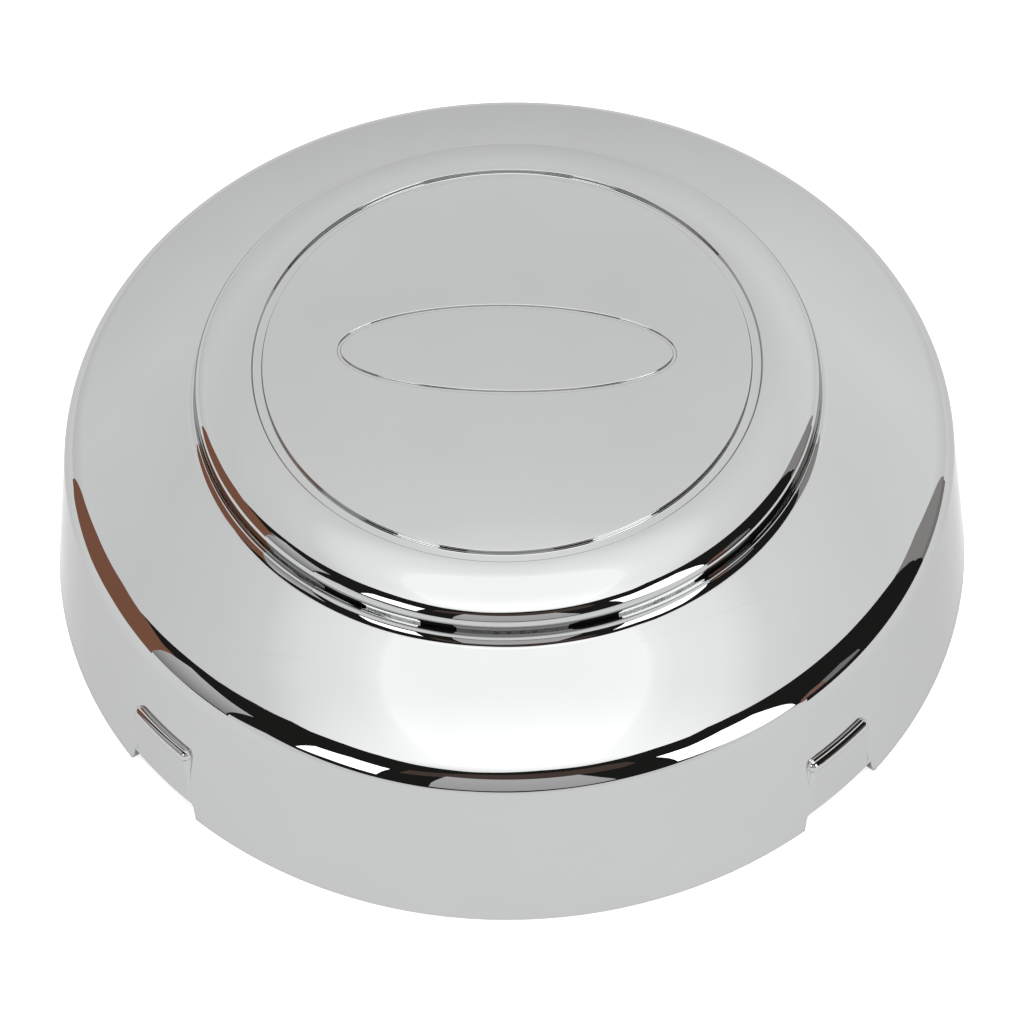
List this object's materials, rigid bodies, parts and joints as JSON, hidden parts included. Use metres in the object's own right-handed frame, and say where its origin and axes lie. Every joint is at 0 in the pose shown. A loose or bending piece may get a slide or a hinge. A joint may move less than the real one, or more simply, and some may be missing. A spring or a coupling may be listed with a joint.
{
  "type": "wheel centre cap",
  "caption": "Round domed wheel centre cap with a raised boss, a ring-shaped channel, a blank oval badge seat and a tapered skirt with snap beads above notches in its rim.",
  "frame": {"origin": "centre of the rim, on the plane of its lower edge", "axes": "+Z along the cap's axis towards the domed face; -Y towards the viewer's side, with a snap clip at 45 degrees on each side of it; +X along the long way of the oval"},
  "size_m": [0.1998, 0.1998, 0.0603],
  "materials": {
    "plated_plastic": "polished"
  },
  "bodies": {
    "root": {"cap": "plated_plastic"}
  },
  "joints": []
}
